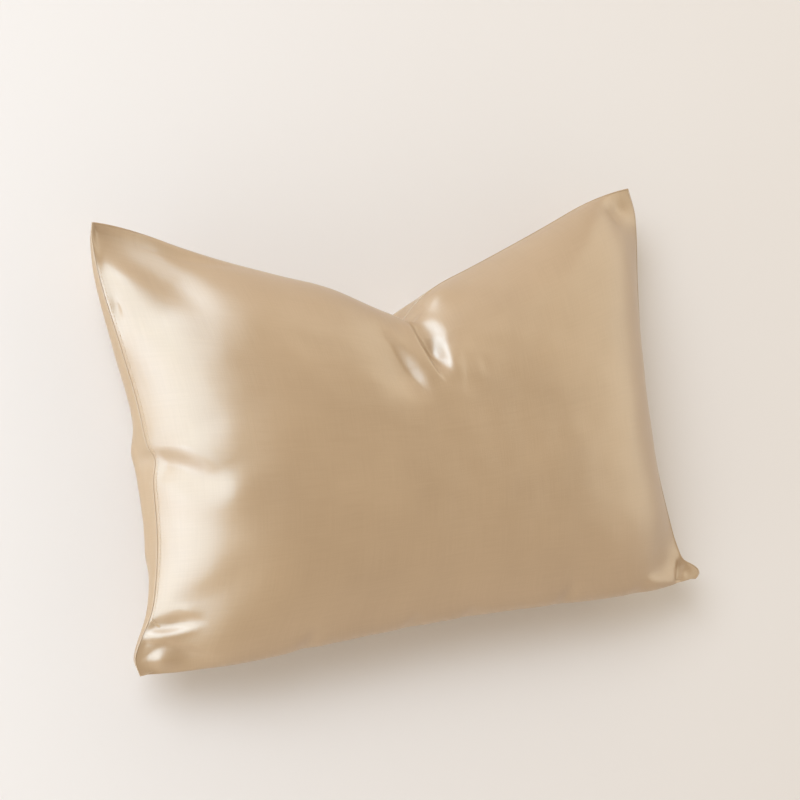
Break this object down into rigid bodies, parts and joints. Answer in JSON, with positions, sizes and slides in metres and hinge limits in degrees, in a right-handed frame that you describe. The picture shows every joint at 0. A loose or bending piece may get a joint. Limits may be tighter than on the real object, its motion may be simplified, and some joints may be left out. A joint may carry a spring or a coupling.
{
  "type": "filled satin pillowcase",
  "caption": "Filled satin pillowcase lying on its back, with knife-edge seams, pointed corners and a pushed-in notch in one long side.",
  "frame": {"origin": "on the surface it lies on, under the middle of the outline's box", "axes": "+X along the long sides, +Y towards the notched long side, +Z out of the front panel"},
  "size_m": [0.7406, 0.4902, 0.164],
  "materials": {
    "satin": "champagne satin weave, glossy",
    "thread": "spun sewing thread, tone on tone"
  },
  "bodies": {
    "root": {"pillowcase": "satin"}
  },
  "joints": []
}
